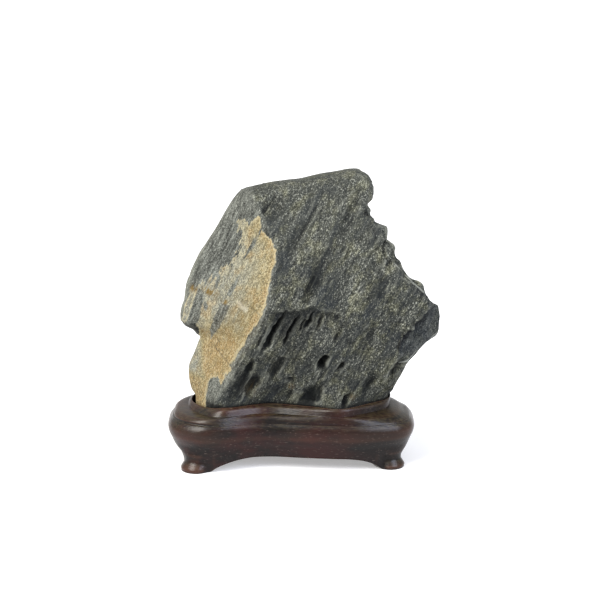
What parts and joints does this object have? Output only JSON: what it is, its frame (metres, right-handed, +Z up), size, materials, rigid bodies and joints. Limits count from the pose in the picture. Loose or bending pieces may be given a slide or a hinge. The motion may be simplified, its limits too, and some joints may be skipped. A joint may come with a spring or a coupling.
{
  "type": "scholar's rock on stand",
  "caption": "Craggy dark natural stone with a smooth stained facet, pits and ledges, standing in a low carved hardwood stand with a raised rim and small round corner feet.",
  "frame": {"origin": "middle of the object's footprint, on the surface that the stand's feet stand on", "axes": "+Z up; +X to the right of the shown face, along the stand; -Y towards the viewer of the shown face"},
  "size_m": [0.1372, 0.0629, 0.1488],
  "materials": {
    "stone": "rough weathered dark greywacke with one smooth ochre-stained facet",
    "hardwood": "satin waxed very dark rosewood"
  },
  "bodies": {
    "root": {"rock": "stone", "stand": "hardwood"}
  },
  "joints": []
}
